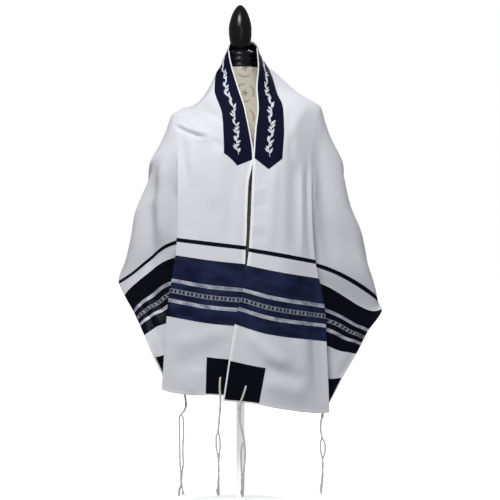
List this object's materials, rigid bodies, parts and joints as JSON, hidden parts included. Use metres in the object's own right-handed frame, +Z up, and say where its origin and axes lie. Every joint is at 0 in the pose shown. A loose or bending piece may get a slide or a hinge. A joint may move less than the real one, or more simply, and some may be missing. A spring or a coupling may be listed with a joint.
{
  "type": "tallit prayer shawl on a dress form",
  "caption": "Striped prayer shawl with neck band, corner squares and tassels, draped open-fronted on a limbless dress form with a finial and a round base.",
  "frame": {"origin": "on the pole's axis, at the underside of the form's round base", "axes": "+Z up, -Y towards the shawl's open front, +X to the right of someone who faces the front"},
  "size_m": [0.6925, 0.321, 1.303],
  "materials": {
    "white_cloth": "plain woven, matte",
    "navy_satin": "satin sheen",
    "silver_ribbon": "metallic woven ribbon",
    "figured_ribbon": "figured woven ribbon",
    "navy_velvet": null,
    "white_cord": "twisted wool cord",
    "beige_jersey": null,
    "black_wood": "black gloss lacquer",
    "white_metal": "white satin paint"
  },
  "bodies": {
    "root": {"shawl_body": "white_cloth", "atarah": "navy_velvet", "narrow_stripe_left": "navy_satin", "satin_band_left": "navy_satin", "silver_ribbon_upper_left": "silver_ribbon", "silver_ribbon_lower_left": "silver_ribbon", "figured_ribbon_left": "figured_ribbon", "corner_square_front_left": "navy_velvet", "corner_square_back_left": "navy_velvet", "tzitzit_front_left": "white_cord", "tzitzit_back_left": "white_cord", "narrow_stripe_right": "navy_satin", "satin_band_right": "navy_satin", "silver_ribbon_upper_right": "silver_ribbon", "silver_ribbon_lower_right": "silver_ribbon", "figured_ribbon_right": "figured_ribbon", "corner_square_front_right": "navy_velvet", "corner_square_back_right": "navy_velvet", "tzitzit_front_right": "white_cord", "tzitzit_back_right": "white_cord", "form_torso": "beige_jersey", "form_neck_cap": "black_wood", "form_finial": "black_wood", "form_pole": "white_metal", "form_base": "white_metal"}
  },
  "joints": []
}
